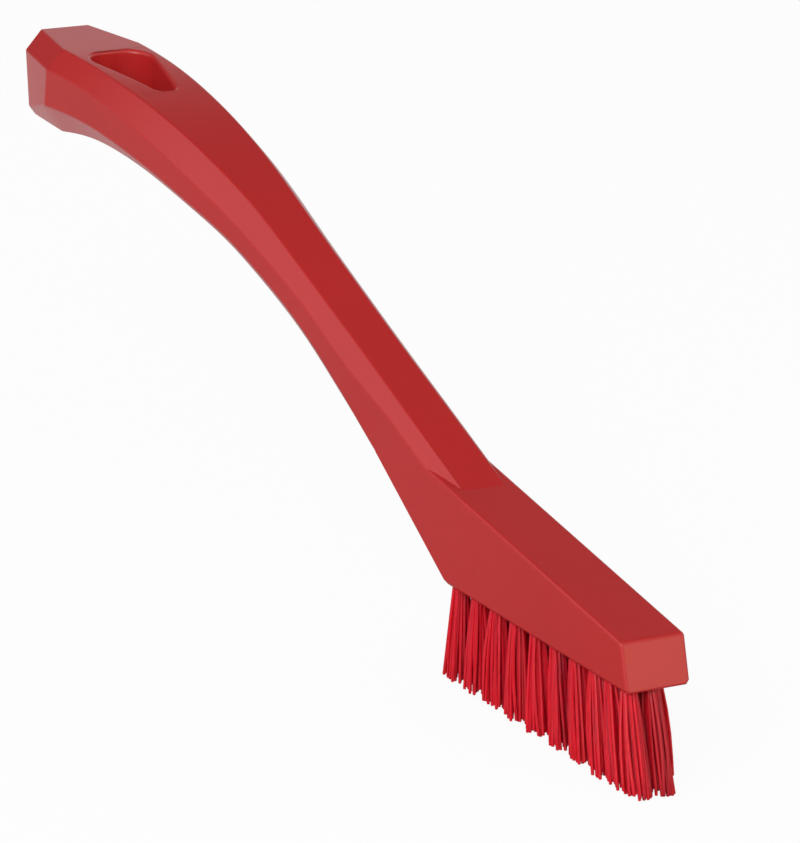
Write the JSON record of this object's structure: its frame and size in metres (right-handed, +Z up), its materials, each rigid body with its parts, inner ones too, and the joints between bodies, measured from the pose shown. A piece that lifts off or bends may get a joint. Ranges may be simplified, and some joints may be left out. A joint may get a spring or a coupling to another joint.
{
  "type": "grout brush",
  "caption": "Narrow grout brush: an arched, faceted plastic handle with a hanging hole, and a slim wedge-shaped head with rows of stiff forward-leaning bristle tufts.",
  "frame": {"origin": "under the middle of the brush's box, at the level of the bristle tips", "axes": "+X from the tail towards the front of the head, +Z up, with the bristles pointing down, +Y to the left of the hand that holds the tail"},
  "size_m": [0.2099, 0.0232, 0.0759],
  "materials": {
    "handle_plastic": "satin moulded polypropylene, red right through",
    "bristle_fibre": "smooth stiff polyester filament, dyed red",
    "anchor_steel": "bright stainless strip, hidden in the head"
  },
  "bodies": {
    "root": {"handle": "handle_plastic", "tuft_right_01": "bristle_fibre", "tuft_right_02": "bristle_fibre", "tuft_right_03": "bristle_fibre", "tuft_right_04": "bristle_fibre", "tuft_right_05": "bristle_fibre", "tuft_right_06": "bristle_fibre", "tuft_right_07": "bristle_fibre", "tuft_right_08": "bristle_fibre", "tuft_right_09": "bristle_fibre", "tuft_right_10": "bristle_fibre", "tuft_middle_01": "bristle_fibre", "tuft_middle_02": "bristle_fibre", "tuft_middle_03": "bristle_fibre", "tuft_middle_04": "bristle_fibre", "tuft_middle_05": "bristle_fibre", "tuft_middle_06": "bristle_fibre", "tuft_middle_07": "bristle_fibre", "tuft_middle_08": "bristle_fibre", "tuft_middle_09": "bristle_fibre", "tuft_middle_10": "bristle_fibre", "tuft_left_01": "bristle_fibre", "tuft_left_02": "bristle_fibre", "tuft_left_03": "bristle_fibre", "tuft_left_04": "bristle_fibre", "tuft_left_05": "bristle_fibre", "tuft_left_06": "bristle_fibre", "tuft_left_07": "bristle_fibre", "tuft_left_08": "bristle_fibre", "tuft_left_09": "bristle_fibre", "anchor_right_01": "anchor_steel", "anchor_right_02": "anchor_steel", "anchor_right_03": "anchor_steel", "anchor_right_04": "anchor_steel", "anchor_right_05": "anchor_steel", "anchor_right_06": "anchor_steel", "anchor_right_07": "anchor_steel", "anchor_right_08": "anchor_steel", "anchor_right_09": "anchor_steel", "anchor_right_10": "anchor_steel", "anchor_middle_01": "anchor_steel", "anchor_middle_02": "anchor_steel", "anchor_middle_03": "anchor_steel", "anchor_middle_04": "anchor_steel", "anchor_middle_05": "anchor_steel", "anchor_middle_06": "anchor_steel", "anchor_middle_07": "anchor_steel", "anchor_middle_08": "anchor_steel", "anchor_middle_09": "anchor_steel", "anchor_middle_10": "anchor_steel", "anchor_left_01": "anchor_steel", "anchor_left_02": "anchor_steel", "anchor_left_03": "anchor_steel", "anchor_left_04": "anchor_steel", "anchor_left_05": "anchor_steel", "anchor_left_06": "anchor_steel", "anchor_left_07": "anchor_steel", "anchor_left_08": "anchor_steel", "anchor_left_09": "anchor_steel"}
  },
  "joints": []
}
